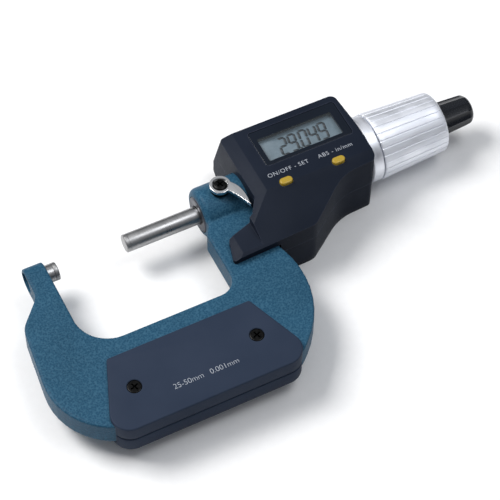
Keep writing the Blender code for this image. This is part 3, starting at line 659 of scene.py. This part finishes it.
def make_casting():
    """The painted casting: one blended skin over bow, boss, arm end and yoke, then its machined bores."""
    casting = prism("frame_casting", rounded(frame_corners()), -FRAME_HALF, FRAME_HALF, "enamel")
    joins = (
        turned("arm_end", rod(-11.45, THROAT_LEFT - 0.05, ARM_END_R)),
        turned("boss", [
            (BOSS_LEFT, 0), (BOSS_LEFT, BOSS_R - 1.9), (BOSS_LEFT + 0.5, BOSS_R - 0.7),
            (BOSS_LEFT + 1.7, BOSS_R), (BOSS_RIGHT + 0.1, BOSS_R), (BOSS_RIGHT + 0.1, 0),
        ]),
        turned("yoke", rod(YOKE_LEFT - 0.1, YOKE_RIGHT + 0.1, YOKE_R)),
    )
    for tool in joins:
        combine(casting, tool, "UNION")
    skin = casting.modifiers.new("skin", "REMESH")
    skin.mode = "VOXEL"
    skin.voxel_size = 0.35 * MM
    skin.use_smooth_shade = True
    relax = casting.modifiers.new("relax", "SMOOTH")
    relax.factor = 0.5
    relax.iterations = 11
    bake(casting)
    bores = (
        turned("anvil_bore", rod(-10.0, 1.0, ROD_R + 0.12), sides=96),
        turned("anvil_rear", rod(-15.0, -9.0, ARM_END_R - 1.0), sides=96),
        turned("bush_bore", rod(50.0, 80.0, BUSH_R + 0.12), sides=96),
        turned("yoke_bore", rod(82.0, 93.0, 6.2), sides=96),
        prism("lock_hole", circle(LOCK_X, 0.0, 1.9), 3.0, 14.0),
    )
    for tool in bores:
        combine(casting, tool)
    for _, x, y in GRIP_SCREWS:
        combine(casting, prism("screw_hole", circle(x, y, 1.4), -9.0, 9.0))
    smooth(casting, 38)
    casting.data.materials.clear()
    casting.data.materials.append(LOOKS["enamel"])
    finish_piece(casting, "main_body", "blue_enamel", "frame")


def make_rods():
    """Anvil, bush and spindle with their lapped carbide tips."""
    anvil = turned("anvil_rod", softened(rod(-8.7, -1.55, ROD_R), 0.2), "steel")
    finish_piece(anvil, "main_body", "polished_steel", "anvil")
    tip = [(-1.5, 0), (-1.5, ROD_R), (-0.25, ROD_R), (0.0, ROD_R - 0.25), (0.0, 0)]
    anvil_face = turned("anvil_carbide", softened(tip, 0.06), "face")
    finish_piece(anvil_face, "main_body", "carbide", "anvil_tip")
    bush = turned("bush_ring", softened([
        (BOSS_LEFT - 0.3, ROD_R + 0.3), (BOSS_LEFT - 0.3, BUSH_R - 0.5), (BOSS_LEFT + 0.1, BUSH_R - 0.05),
        (BOSS_RIGHT - 0.5, BUSH_R - 0.05), (BOSS_RIGHT - 0.5, ROD_R + 0.3),
    ], 0.12), "bush")
    finish_piece(bush, "main_body", "polished_steel", "spindle_bush")
    left = span("spindle_tip", 0)[0]
    thread_r, tail_r = 3.9, 4.2
    pitch, thread_left, thread_right = 0.5, 87.4, 130.0
    profile = [(left + 1.55, 0), (left + 1.55, ROD_R), (86.9, ROD_R), (87.3, thread_r - 0.3)]
    turns = int((thread_right - thread_left) / pitch)
    for i in range(turns):
        start = thread_left + i * pitch
        crest = start + pitch * 0.4
        profile += [(start, thread_r - 0.28), (crest, thread_r), (start + pitch * 0.55, thread_r)]
    profile += [(130.4, 3.2), (137.4, 3.2), (138.0, tail_r), (146.4, tail_r), (146.4, 0)]
    spindle = turned("spindle_rod", profile, "steel", sides=96)
    finish_piece(spindle, "spindle_group", "polished_steel", "spindle")
    tip = [(left, 0), (left, ROD_R - 0.25), (left + 0.25, ROD_R), (left + 1.5, ROD_R), (left + 1.5, 0)]
    spindle_face = turned("spindle_carbide", softened(tip, 0.06), "face")
    finish_piece(spindle_face, "spindle_group", "carbide", "spindle_tip")


# ---------------------------------------------------------------- grips
def make_grips():
    """Two plates over the bow, each with a pocket for it and two cross-head screws."""
    corners = [
        (GRIP_TOP_X[0], GRIP_TOP, 1.2), (GRIP_BOTTOM_X[0], GRIP_BOTTOM, 6.5),
        (GRIP_BOTTOM_X[1], GRIP_BOTTOM, 6.5), (GRIP_TOP_X[1], GRIP_TOP, 1.2),
    ]
    pocket = rounded(offset_corners(frame_corners(), GAP), math.radians(15))
    face, radius = GRIP_FACE, GRIP_SCREW_R
    for name, side in (("front", 1), ("rear", -1)):
        low, high = sorted((side * 0.12, side * face))
        plate = prism(f"{name}_grip_plate", rounded(corners), low, high, "grip")
        round_edges(plate, 0.55, 40, 4)
        low, high = sorted((side * -2.0, side * (FRAME_HALF + 0.1)))
        combine(plate, prism("pocket", pocket, low, high))
        for end, x, y in GRIP_SCREWS:
            seat = [
                (3.0, 0), (3.0, 1.5), (5.0, 1.5), (face - 0.5, radius + 0.12),
                (face - 0.18, radius + 0.16), (face + 0.1, radius + 0.5), (9.0, 3.2), (9.0, 0),
            ]
            combine(plate, turned("seat", [(side * z, r) for z, r in seat], sides=64, centre=(x, y)))
            head = [
                (0.5, 0), (0.5, 1.1), (5.1, 1.1), (face - 0.55, radius), (face - 0.2, radius),
                (face - 0.1, radius - 0.25), (face - 0.1, 0),
            ]
            screw = turned(f"{name}_grip_screw_{end}_head", softened([(side * z, r) for z, r in head], 0.08),
                           "black_steel", sides=64, centre=(x, y))
            cut_cross(screw, x, y, side * (face - 0.1), 1.1, 1.6, 0.55, side)
            finish_piece(screw, "main_body", "black_steel", f"{name}_grip_screw_{end}")
        smooth(plate)
        finish_piece(plate, "main_body", "grip_plastic", f"{name}_grip")
    lettering("range_marking", "25-50mm   0.001mm", 26.0, -63.0, GRIP_FACE + 0.014, 2.85,
              "main_body", "grip_plastic", spacing=0.98, thin=0.05)


# ---------------------------------------------------------------- spindle lock
def lever_outline(inset=0.0):
    """Comma outline about the lock's axis: a ring whose tail sweeps down and narrows to a tip."""
    tip, shoulder = Vector((5.7, -12.2 + inset * 3.0)), Vector((7.2 - inset, -4.4))
    start, end = math.radians(-8), math.radians(292)
    reach = LEVER_R - inset
    points = [
        (reach * math.cos(start + (end - start) * i / 48), reach * math.sin(start + (end - start) * i / 48))
        for i in range(49)
    ]
    outer_start, inner_start = Vector(points[0]), Vector(points[-1])
    inner_middle = Vector((3.3 + inset, -5.9))
    points += [tuple(bezier(inner_start, inner_middle, tip, i / 12)) for i in range(1, 13)]
    points.append((tip.x + 0.35 - inset * 0.5, tip.y + 0.05))
    points += [tuple(bezier(tip, shoulder, outer_start, i / 16)) for i in range(1, 16)]
    return [(x + LOCK_X, y) for x, y in points]


def make_lock():
    """The lever with its screw and stem; they turn together."""
    top, bottom, radius = LOCK_TOP, LOCK_TOP - 1.5, LEVER_SCREW_R
    lever = prism("lock_lever_chrome", lever_outline(), bottom, top, "chrome")
    round_edges(lever, 0.42, 35, 4)
    seat = [
        (bottom - 1, 0), (bottom - 1, 1.5), (bottom + 0.5, 1.5), (bottom + 0.5, radius + 0.12),
        (top - 0.25, radius + 0.12), (top + 0.2, radius + 0.5), (top + 1, radius + 0.5), (top + 1, 0),
    ]
    combine(lever, turned("seat", seat, sides=96, centre=(LOCK_X, 0.0)))
    smooth(lever, 35)
    finish_piece(lever, "lock_group", "chrome", "lock_lever")
    screw = turned("lock_screw_head", softened([
        (7.0, 0), (7.0, 1.1), (bottom + 0.7, 1.1), (bottom + 0.7, radius), (top - 0.25, radius),
        (top + 0.1, radius - 0.5), (top + 0.25, radius - 1.2), (top + 0.25, 0),
    ], 0.12), "black_steel", sides=72, centre=(LOCK_X, 0.0))
    cut_cross(screw, LOCK_X, 0.0, top + 0.25, 1.1, 1.5, 0.5)
    finish_piece(screw, "lock_group", "black_steel", "lock_screw")
    # The stem is a black post under the lever's ring; its black also stands in for the shade the lever casts
    # there.
    stem = turned("lock_stem_post", softened([
        (5.6, 0), (5.6, 1.6), (BOSS_R + 0.3, 1.6), (BOSS_R + 0.3, 3.4), (bottom - 0.1, 3.4),
        (bottom - 0.1, 0),
    ], 0.2), "black_steel", sides=72, centre=(LOCK_X, 0.0))
    combine(stem, turned("stem_bore", rod(6.7, 14.0, 1.3), sides=48, centre=(LOCK_X, 0.0)))
    smooth(stem)
    finish_piece(stem, "lock_group", "black_steel", "lock_stem")


# ---------------------------------------------------------------- display head
def head_corners(top):
    """The head's outline seen from the display side, when its top edge lies at a height in Y."""
    lean = (top - 2.0) / (HEAD_TOP - 2.0)
    return [
        (HEAD_LEFT, top, 1.2), (HEAD_LEFT, -10.4, 0.8), (66.4, -15.6, 0.8), (55.9, -19.0, 1.0),
        (53.5, -27.7, 1.0), (85.5, -26.6, 5.0), (101.5, -15.1, 18.0), (HEAD_RIGHT, -14.4, 2.2),
        (HEAD_RIGHT + 0.3, 2.0, 30.0), (HEAD_RIGHT + 0.3 - 1.5 * lean, top, 2.5),
    ]


def stack(name, outlines, look=None):
    """A closed piece through (height, outline) levels, whose outlines have the same number of points."""
    data = bmesh.new()
    rings = [[data.verts.new((x * MM, y * MM, z * MM)) for x, y in points] for z, points in outlines]
    data.faces.new(rings[0])
    data.faces.new(rings[-1])
    count = len(rings[0])
    for a, b in zip(rings, rings[1:]):
        for i in range(count):
            j = (i + 1) % count
            data.faces.new((a[i], a[j], b[j], b[i]))
    return mesh_object(name, data, look)


def head_block(name, wall=0.0, face_wall=0.0, look=None):
    """The head's whole volume, set in by a wall on its sides and a wall on its faces."""
    shift = wall * (math.hypot(1.0, HEAD_TOP_SLOPE) - 1.0)
    slope_end = HEAD_FRONT - (HEAD_TOP - HEAD_TOP_SLOPE_Y) / HEAD_TOP_SLOPE
    levels = [
        (HEAD_BACK + face_wall, HEAD_TOP - BACK_CHAMFER + face_wall), (HEAD_BACK + BACK_CHAMFER, HEAD_TOP),
        (slope_end, HEAD_TOP),
        (HEAD_FRONT - face_wall, HEAD_TOP_SLOPE_Y + face_wall * HEAD_TOP_SLOPE - shift),
    ]
    step = math.radians(9)
    outlines = [(z, rounded(offset_corners(head_corners(top), -wall), step)) for z, top in levels]
    block = stack(name, outlines, look)
    foot = [(40.0, -40.0), (65.2 + wall, -40.0), (65.2 + wall, -16.0 - wall), (60.0, -8.0), (40.0, -8.0)]
    combine(block, prism("foot", foot, FOOT_HEIGHT - face_wall, 30.0))
    crease_z = HEAD_FRONT - face_wall * math.hypot(1.0, HEAD_CREASE_SLOPE)
    cut_plane(block, (HEAD_MIDDLE, HEAD_CREASE_Y, crease_z), (0.0, -HEAD_CREASE_SLOPE, 1.0))
    cut_plane(block, (CHAMFER_X + wall * 0.4, 0.0, HEAD_FRONT - face_wall), (-CHAMFER_SLOPE, 0.0, 1.0))
    return block


def make_head():
    """The display head: one rounded block parted at the seam, hollowed, and cut for what it holds."""
    front = round_edges(head_block("display_head_front", look="abs"), 0.45, 20)
    rear = linked("display_head_rear", front.data.copy())
    cut_plane(front, (HEAD_MIDDLE, 0.0, SEAM), (0.0, 0.0, -1.0))
    cut_plane(rear, (HEAD_MIDDLE, 0.0, -SEAM), (0.0, 0.0, 1.0))
    for shell in (front, rear):
        combine(shell, head_block("cavity", WALL, FACE_WALL))
    for x, y in HEAD_SCREWS:
        combine(front, prism("pillar", circle(x, y, 2.2), 0.16, 4.0), "UNION")
        combine(rear, prism("column", circle(x, y, 2.9), HEAD_BACK + 0.4, -0.45), "UNION")
    arm = [(40.0, -50.0), (ARM_RIGHT + GAP, -50.0), (ARM_RIGHT + GAP, 0.5), (40.0, 0.5)]
    for shell in (front, rear):
        combine(shell, prism("arm_slot", arm, -FRAME_HALF - 0.15, FRAME_HALF + 0.15))
        combine(shell, turned("boss_hole", rod(50.0, 78.0, BOSS_R + 0.15)))
        combine(shell, turned("barrel_hole", rod(108.0, 125.0, SLEEVE_R + 0.2)))
    for i, (x, y) in enumerate(HEAD_SCREWS):
        combine(front, prism("thread", circle(x, y, 1.15), -1.0, 3.5))
        combine(rear, prism("clearance", circle(x, y, 1.15), -9.0, 1.0))
        combine(rear, prism("counterbore", circle(x, y, 2.15), -20.0, -4.0))
        screw = turned(f"housing_screw_{i + 1}_head", softened([
            (-5.6, 0), (-5.6, 1.85), (-4.3, 1.85), (-4.3, 0.85), (3.2, 0.85), (3.2, 0),
        ], 0.12), "black_steel", sides=48, centre=(x, y))
        cut_cross(screw, x, y, -5.6, 0.8, 1.3, 0.45, -1)
        finish_piece(screw, "main_body", "black_steel", f"housing_screw_{i + 1}")
    pocket = rectangle(widened(LENS_X, 0.12), widened(LENS_Y, 0.12), 1.2)
    combine(front, prism("lens_pocket", pocket, HEAD_FRONT - 1.0, 20.0))
    opening = rectangle(widened(WINDOW_X, 0.3), widened(WINDOW_Y, 0.3))
    combine(front, prism("window", opening, 10.0, 20.0))
    for name, _, x in BUTTONS:
        hole = pill(x, BUTTON_Y, BUTTON_LENGTH + 0.36, BUTTON_WIDTH + 0.36)
        combine(front, prism(f"{name}_hole", hole, 10.0, 20.0))
    combine(rear, prism("battery_well", circle(BATTERY_X, BATTERY_Y, COVER_R + 0.15, 96), -20.0, -4.9))
    for shell in (front, rear):
        smooth(shell, 32)
    finish_piece(front, "main_body", "black_plastic", "housing_front")
    finish_piece(rear, "main_body", "black_plastic", "housing_rear")
    for name, text, x in LABELS:
        lettering(name, text, x, LABEL_Y, HEAD_FRONT + 0.014, LABEL_SIZE, "main_body", "black_plastic",
                  spacing=1.12, thin=0.02)


def make_keys():
    """The two buttons, each on its own body, with the flange that holds it in."""
    for name, body, x in BUTTONS:
        top = span(name, 2)[1]
        key = prism(f"{name}_key", pill(x, BUTTON_Y, BUTTON_LENGTH, BUTTON_WIDTH), 11.6, top, "yellow")
        round_edges(key, 0.5, 40, 4)
        combine(key, prism("flange", pill(x, BUTTON_Y, 6.4, 3.9), 11.3, 11.72), "UNION")
        smooth(key, 35)
        finish_piece(key, body, "yellow_plastic", name)


def segment_points(a, b, thickness):
    """A display segment between two points: a bar with pointed ends."""
    start, end = Vector(a), Vector(b)
    along = (end - start).normalized()
    across = Vector((-along.y, along.x)) * thickness / 2
    start, end = start + along * thickness * 0.12, end - along * thickness * 0.12
    nose = along * thickness / 2
    return [
        start, start + nose + across, end - nose + across,
        end, end - nose - across, start + nose - across,
    ]


SEGMENTS = {"0": "abcdef", "2": "abged", "4": "fgbc", "9": "abcdfg"}


def make_digits(name, look, shift, z):
    """The reading 29.049 in slanted seven-segment digits with a decimal point."""
    height, width, pitch, lean, thick = 7.1, 2.5, 3.75, 0.14, 0.74
    left, base = 87.3, 1.4
    point_gap, point_r = 0.5, 0.42
    top, mid = height, height / 2
    spots = {
        "a": ((0, top), (width, top)), "b": ((width, top), (width, mid)), "c": ((width, mid), (width, 0)),
        "d": ((0, 0), (width, 0)), "e": ((0, mid), (0, 0)), "f": ((0, top), (0, mid)),
        "g": ((0, mid), (width, mid)),
    }
    data = bmesh.new()

    def add(points):
        data.faces.new([data.verts.new((p[0] * MM, p[1] * MM, z * MM)) for p in points])

    for i, digit in enumerate("29049"):
        x0 = left + i * pitch + (point_gap if i > 1 else 0.0)
        for letter in SEGMENTS[digit]:
            ends = [(x0 + x + lean * y + shift[0], base + y + shift[1]) for x, y in spots[letter]]
            add(segment_points(*ends, thick))
    dot_x = left + 2 * pitch - 0.45 + shift[0]
    add(circle(dot_x, base + 0.15 + shift[1], point_r, 12))
    digits = mesh_object(name, data, look)
    thicken = digits.modifiers.new("thicken", "SOLIDIFY")
    thicken.thickness = 0.02 * MM
    thicken.offset = 1.0
    bake(digits)
    finish_piece(digits, "main_body", "display")


def make_display():
    """The black border, the clear pane in it, and the display with its digits and their shadows."""
    top = span("display_lens", 2)[1]
    border = prism("display_border", rectangle(LENS_X, LENS_Y, 1.0), top - 0.85, top, "lens")
    round_edges(border, 0.15, 40, 3)
    combine(border, prism("window", rectangle(WINDOW_X, WINDOW_Y, 0.25), 10.0, 20.0))
    smooth(border)
    finish_piece(border, "main_body", "lens", "display_lens")
    pane_outline = rectangle(widened(WINDOW_X, -0.02), widened(WINDOW_Y, -0.02), 0.23)
    pane = prism("display_window", pane_outline, top - 0.36, top - 0.06, "window")
    finish_piece(pane, "main_body", "lens")
    low, high = span("lcd_panel", 2)
    panel_outline = rectangle(span("lcd_panel", 0), span("lcd_panel", 1), 0.3)
    panel = prism("crystal_panel", panel_outline, low, high, "crystal")
    round_edges(panel, 0.1, 40, 2)
    finish_piece(panel, "main_body", "display", "lcd_panel")
    # Painted shadow of the digits: a darker copy, offset left and up, just under the digits on the panel.
    make_digits("digit_shadows", "painted_digit_shadow", (-0.28, 0.22), high + 0.005)
    make_digits("display_digits", "segment", (0.0, 0.0), high + 0.04)


# ---------------------------------------------------------------- battery
def make_battery_cover():
    """The round cover on the back, with a slot for a coin."""
    centre = (BATTERY_X, BATTERY_Y)
    bottom = span("battery_cover", 2)[0]
    cover = turned("battery_cover_disc", softened([
        (bottom, 0), (bottom, COVER_R - 0.3), (bottom + 0.3, COVER_R), (-11.7, COVER_R), (-11.7, 5.2),
        (-11.2, 5.2), (-11.2, 0),
    ], 0.12), "abs", sides=96, centre=centre)
    slot = rectangle((BATTERY_X - 4.6, BATTERY_X + 4.6), (BATTERY_Y - 0.8, BATTERY_Y + 0.8), 0.75)
    combine(cover, prism("coin_slot", slot, -20.0, bottom + 0.95))
    smooth(cover)
    finish_piece(cover, "battery_lid", "black_plastic", "battery_cover")


# ---------------------------------------------------------------- barrel, thimble and ratchet
def make_barrel():
    """The fixed sleeve that guides the thimble."""
    neck, bore = 5.9, 6.5
    left, right = span("barrel_sleeve", 0)
    sleeve = turned("barrel_tube", softened([
        (left, 4.3), (left, neck), (YOKE_RIGHT + 0.4, neck), (YOKE_RIGHT + 0.4, SLEEVE_R),
        (right, SLEEVE_R), (right, bore), (93.5, bore), (93.5, 4.3),
    ], 0.25), "collar")
    finish_piece(sleeve, "main_body", "polished_steel", "barrel_sleeve")


def flute(along, radius, angle):
    """Radius of the thimble grip at an angle: flat ribs parted by narrow rounded grooves."""
    if radius < 9.9 or along > THIMBLE_RIGHT - 0.55:
        return radius
    depth, half_width = 0.27, 0.075
    phase = (angle * FLUTE_COUNT / (2 * math.pi)) % 1.0
    return radius - depth * math.exp(-((phase - 0.5) / half_width) ** 4)


def make_thimble():
    """The inner tube, the plain collar and the fluted sleeve."""
    inner = span("thimble_tube", 2)[1]
    tube = turned("thimble_core", softened([
        (COLLAR_LEFT, 8.6), (COLLAR_LEFT, inner), (146.6, inner), (146.6, 4.5), (144.3, 4.5), (144.3, 8.6),
    ], 0.15), "aluminium")
    finish_piece(tube, "spindle_group", "satin_aluminium", "thimble_tube")
    collar = turned("thimble_ring", softened([
        (COLLAR_LEFT, inner + 0.05), (COLLAR_LEFT, COLLAR_R - 0.7), (COLLAR_LEFT + 0.7, COLLAR_R),
        (COLLAR_RIGHT - 0.25, COLLAR_R), (COLLAR_RIGHT, COLLAR_R - 0.35), (COLLAR_RIGHT, inner + 0.05),
    ], 0.2), "collar")
    finish_piece(collar, "spindle_group", "satin_aluminium", "thimble_collar")
    left_r, right_r = 12.4, 11.2
    start, end = GRIP_LEFT + 0.45, THIMBLE_RIGHT - 1.2
    stations = 14
    profile = [(GRIP_LEFT, inner + 0.05), (GRIP_LEFT, left_r - 0.35), (GRIP_LEFT + 0.15, left_r - 0.12)]
    for i in range(stations + 1):
        t = i / stations
        profile.append((start + (end - start) * t, left_r + (right_r - left_r) * t))
    profile += [
        (THIMBLE_RIGHT - 0.75, right_r - 0.22), (THIMBLE_RIGHT - 0.3, right_r - 0.7),
        (THIMBLE_RIGHT - 0.05, right_r - 1.3), (THIMBLE_RIGHT, right_r - 2.0), (THIMBLE_RIGHT, 2.6),
        (146.9, 2.6), (146.9, inner + 0.05),
    ]
    grip = turned("thimble_fluted_grip", profile, "aluminium", sides=FLUTE_COUNT * 20, radius_at=flute)
    smooth(grip, 50)
    finish_piece(grip, "spindle_group", "satin_aluminium", "thimble_grip")


def cap_facet(along, radius, angle):
    """Radius of the cap at an angle: shallow lengthwise flutes that fade out at the rounded end."""
    if radius < 4.9 or along > CAP_FLUTE_END:
        return radius
    depth, half_count = 0.34, 6
    fade = min(1.0, max(0.0, (CAP_FLUTE_END - along) / 2.0))
    return radius - depth * fade * abs(math.cos(angle * half_count)) ** 0.7


def make_ratchet():
    """The thumb cap: tapered sides, a rounded end and a hollow for the ratchet."""
    start, dome_left = CAP_LEFT + 0.4, CAP_RIGHT - CAP_DOME
    side_r, flat_r = CAP_END_R + 0.1, 2.6
    profile = [(CAP_LEFT, 4.7), (CAP_LEFT, CAP_R - 0.35), (CAP_LEFT + 0.12, CAP_R - 0.12), (start, CAP_R)]
    for i in range(1, 9):
        t = i / 8
        profile.append((start + (dome_left - start) * t, CAP_R + (side_r - CAP_R) * t))
    for i in range(1, 9):
        angle = math.radians(90 * i / 9)
        rise, reach = CAP_DOME * math.sin(angle), (side_r - flat_r) * math.cos(angle)
        profile.append((dome_left + rise, flat_r + reach))
    profile += [
        (CAP_RIGHT, 2.4), (CAP_RIGHT, 0), (CAP_RIGHT - 2.2, 0), (CAP_RIGHT - 2.2, 3.9),
        (153.0, 4.6), (153.0, 4.7),
    ]
    cap = turned("ratchet_thumb_cap", profile, "cap", sides=144, radius_at=cap_facet)
    smooth(cap, 50)
    finish_piece(cap, "ratchet_group", "black_plastic", "ratchet_cap")


# ---------------------------------------------------------------- CAD pieces that stay
def dress_cad_nodes():
    """Procedural finishes for the CAD nodes whose own shape is shown."""
    looks = {
        "brass": ("clamp_shoe", "battery_contact", "rotor_disc", "spindle_nut"),
        "steel": ("battery", "rotor_key", "adjusting_nut", "ratchet_spring"),
        "board": ("circuit_board", "stator_disc"),
        "rubber": ("button_pad", "battery_seal"),
        "black_steel": ("ratchet_disc", "ratchet_clutch", "ratchet_screw"),
    }
    for look, names in looks.items():
        for name in names:
            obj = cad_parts[name]
            for slot in obj.material_slots:
                slot.link = "OBJECT"
                slot.material = LOOKS[look]


# ---------------------------------------------------------------- camera, light and floor
def make_camera():
    """The camera: turned 27.6 degrees round, 55 degrees up, rolled a little, with a long lens."""
    back = Vector((-0.2658, -0.5083, 0.8192)).normalized()
    turn, roll = math.radians(-27.61), math.radians(1.19)
    right = Vector((math.cos(turn), math.sin(turn), 0.0))
    up = back.cross(right)
    right_rolled = right * math.cos(roll) + up * math.sin(roll)
    up_rolled = up * math.cos(roll) - right * math.sin(roll)
    data = bpy.data.cameras.new("camera")
    data.sensor_width = 36.0
    data.lens = 138.3
    data.clip_start, data.clip_end = 0.01, 10.0
    camera = linked("camera", data)
    facing = Matrix((right_rolled, up_rolled, back)).transposed().to_4x4()
    camera.matrix_world = Matrix.Translation(Vector((-112.9, -357.3, 541.4)) * MM) @ facing
    bpy.context.scene.camera = camera


def area_light(name, position, aim, size, power, colour):
    data = bpy.data.lights.new(name, "AREA")
    data.shape = "RECTANGLE"
    data.size, data.size_y = size
    data.energy = power
    data.color = colour
    light = linked(name, data)
    light.location = position
    light.rotation_mode = "QUATERNION"
    light.rotation_quaternion = (Vector(position) - Vector(aim)).to_track_quat("Z", "Y")


def make_studio():
    """Two soft lights, a dome that is dark at the horizon, and a pale floor under the head's back."""
    middle = (0.06, -0.02, 0.0)
    area_light("key", (-0.4, 0.42, 0.85), middle, (0.5, 0.5), 11.0, (1.0, 0.99, 0.98))
    area_light("fill", (0.4, -0.15, 0.95), middle, (0.5, 0.4), 2.6, (0.95, 0.97, 1.0))
    world = bpy.data.worlds.new("studio")
    world.use_nodes = True
    tree = world.node_tree
    parts = node(tree, "SeparateXYZ")
    wire(tree, node(tree, "TexCoord"), "Generated", parts, "Vector")
    dome = ramp(tree, parts, "Z", [
        (0.0, (0.03, 0.033, 0.04)), (0.2, (0.05, 0.055, 0.065)),
        (0.55, (0.3, 0.31, 0.33)), (1.0, (0.5, 0.51, 0.53)),
    ])
    wire(tree, dome, "Color", tree.nodes["Background"], "Color")
    bpy.context.scene.world = world
    bpy.context.scene.view_settings.view_transform = "Standard"
    reach = (-6000.0, 6000.0)
    data = bmesh.new()
    data.faces.new([data.verts.new((x * MM, y * MM, cad_low.z)) for x, y in rectangle(reach, reach)])
    floor = mesh_object("floor", data)
    paint, tree, shader = new_look("floor_paper")
    fibre = noise(tree, place(tree), 400.0, 3.0)
    shade(tree, shader, "Base Color", fibre, "Fac", [(0.3, grey(0.88)), (0.7, grey(0.9))])
    shader.inputs["Roughness"].default_value = 0.9
    floor.data.materials.append(paint)


LOOKS = make_looks()
make_casting()
make_rods()
make_grips()
make_lock()
make_head()
make_keys()
make_display()
make_battery_cover()
make_barrel()
make_thimble()
make_ratchet()
dress_cad_nodes()
make_camera()
make_studio()
